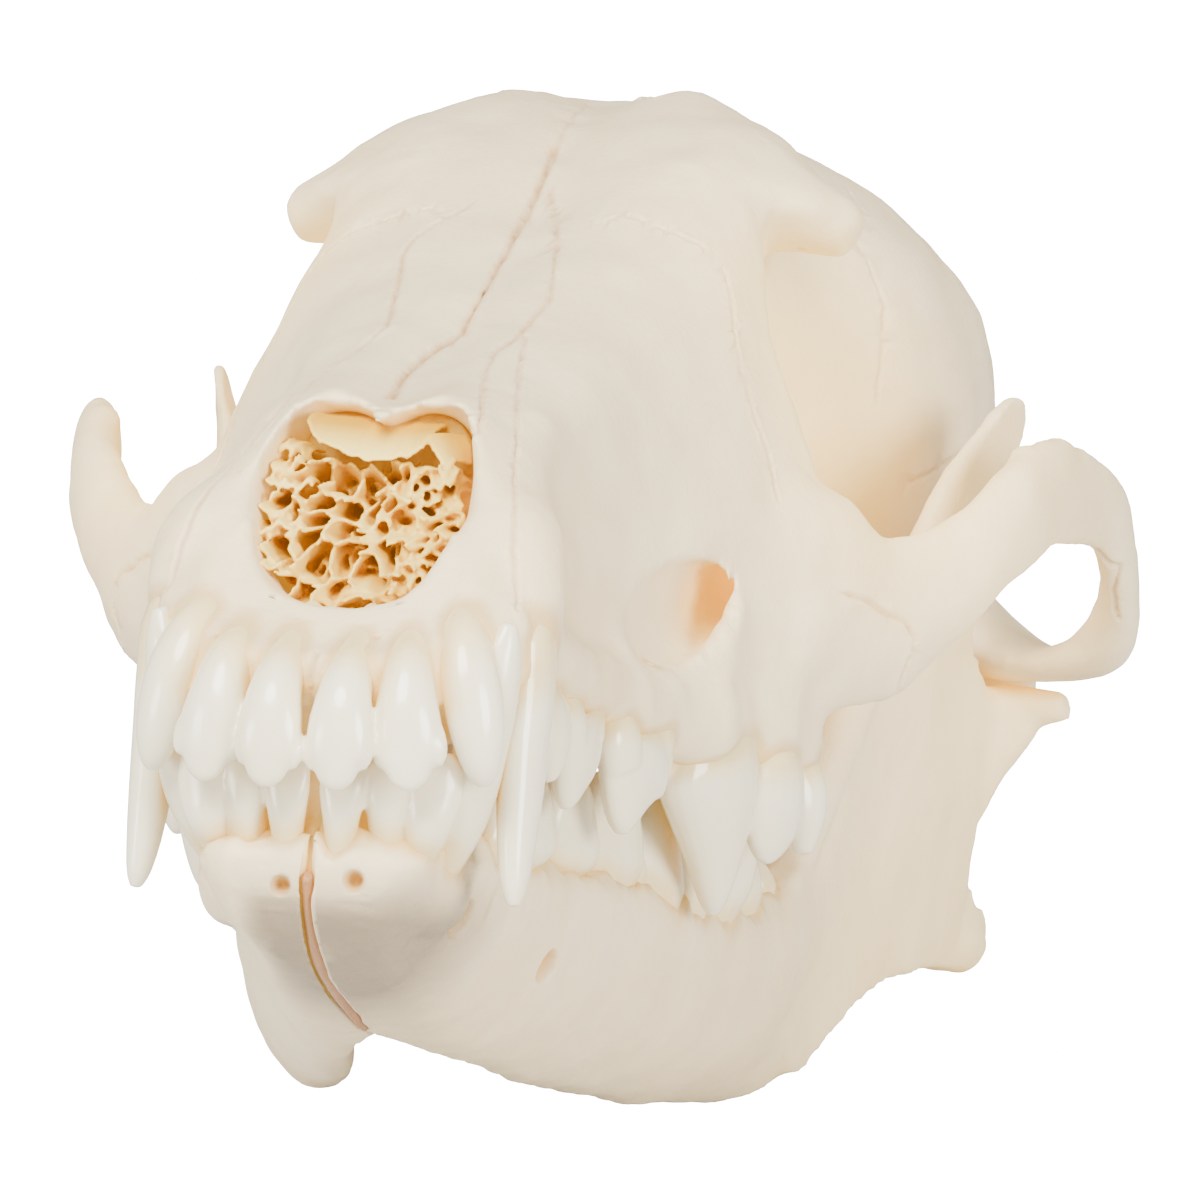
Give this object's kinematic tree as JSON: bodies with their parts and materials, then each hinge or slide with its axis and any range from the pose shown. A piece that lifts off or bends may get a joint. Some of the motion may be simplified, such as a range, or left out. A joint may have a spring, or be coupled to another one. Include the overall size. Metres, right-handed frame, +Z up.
{
  "type": "jackal skull",
  "caption": "Life-size jackal skull with closed lower jaw, long narrow muzzle, wide cheek arches and full set of teeth.",
  "frame": {"origin": "middle of the bounding box, at the level of the table that the lower jaw rests on", "axes": "+X to the animal's left, +Y from the front teeth back to the occiput, +Z up; the skull leans back on its lower jaw as it rests"},
  "size_m": [0.0884, 0.172, 0.0767],
  "materials": {
    "bone": "clean dry bone, matt, with glossier white teeth",
    "turbinate": "thin amber bone, matt"
  },
  "bodies": {
    "root": {"muzzle": "bone", "braincase": "bone", "zygomatic_arch_left": "bone", "zygomatic_arch_right": "bone", "mandible_left": "bone", "mandible_right": "bone", "nasal_turbinates": "turbinate"}
  },
  "joints": []
}
